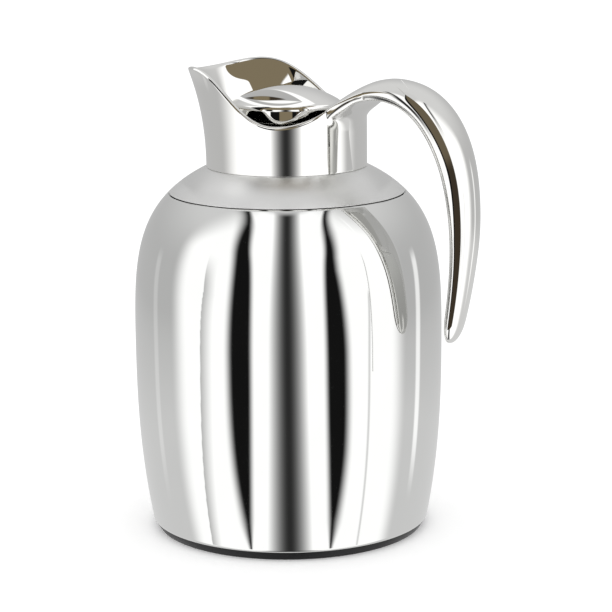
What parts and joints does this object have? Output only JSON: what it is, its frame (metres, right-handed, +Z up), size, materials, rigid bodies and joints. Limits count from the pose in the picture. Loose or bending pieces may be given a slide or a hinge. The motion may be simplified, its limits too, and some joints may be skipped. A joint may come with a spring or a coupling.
{
  "type": "vacuum coffee jug",
  "caption": "Polished vacuum coffee jug with a rounded barrel, a flowing pouring lip that runs into a swept handle, and a push button that opens its screw-in stopper.",
  "frame": {"origin": "centre of the ring that the jug stands on", "axes": "+Z up along the barrel's axis, +X towards the handle, -X towards the pouring lip"},
  "size_m": [0.1729, 0.144, 0.218],
  "materials": {
    "polished_steel": "polished",
    "chrome_plating": "polished",
    "satin_plating": "satin",
    "black_plastic": "satin",
    "stopper_plastic": "satin",
    "silvered_glass": "gloss",
    "fibre_pad": "matte",
    "silicone": "satin",
    "spring_steel": "satin"
  },
  "bodies": {
    "jug": {"outer_shell": "polished_steel", "shoulder_ring": "satin_plating", "base_cover": "black_plastic", "base_thread_ring": "black_plastic", "neck_spout_handle": "chrome_plating", "handle_inner_cover": "chrome_plating", "neck_lock_nut": "black_plastic", "liner_outer_wall": "silvered_glass", "liner_inner_wall": "silvered_glass", "liner_spacers": "fibre_pad", "liner_cushion": "silicone", "mouth_gasket": "silicone"},
    "stopper_seal": {"stopper_gasket": "silicone"},
    "stopper": {"stopper_body": "stopper_plastic", "stopper_cup": "stopper_plastic", "return_spring": "spring_steel"},
    "button": {"push_button": "chrome_plating", "valve_stem": "spring_steel", "valve_disc": "stopper_plastic", "valve_seal": "silicone", "valve_nut": "stopper_plastic"}
  },
  "joints": [
    {"name": "stopper_lift", "type": "slide", "parent": "jug", "child": "stopper_seal", "axis": [0, 0, 1], "range_m": [0, 0.00751]},
    {"name": "stopper_turn", "type": "hinge", "parent": "stopper_seal", "child": "stopper", "pos_m": [0, 0, 0.182], "axis": [0, 0, 1], "range_deg": [0, 450]},
    {"name": "button_press", "type": "slide", "parent": "stopper", "child": "button", "axis": [0, 0, -1], "range_m": [0, 0.004], "stiffness_N_per_m": 2000, "springref_m": -0.003, "deforming": ["return_spring"]}
  ],
  "couplings": [
    {"joint": "stopper_lift", "follows": "stopper_turn", "m_per_rad": 0.00095493}
  ]
}
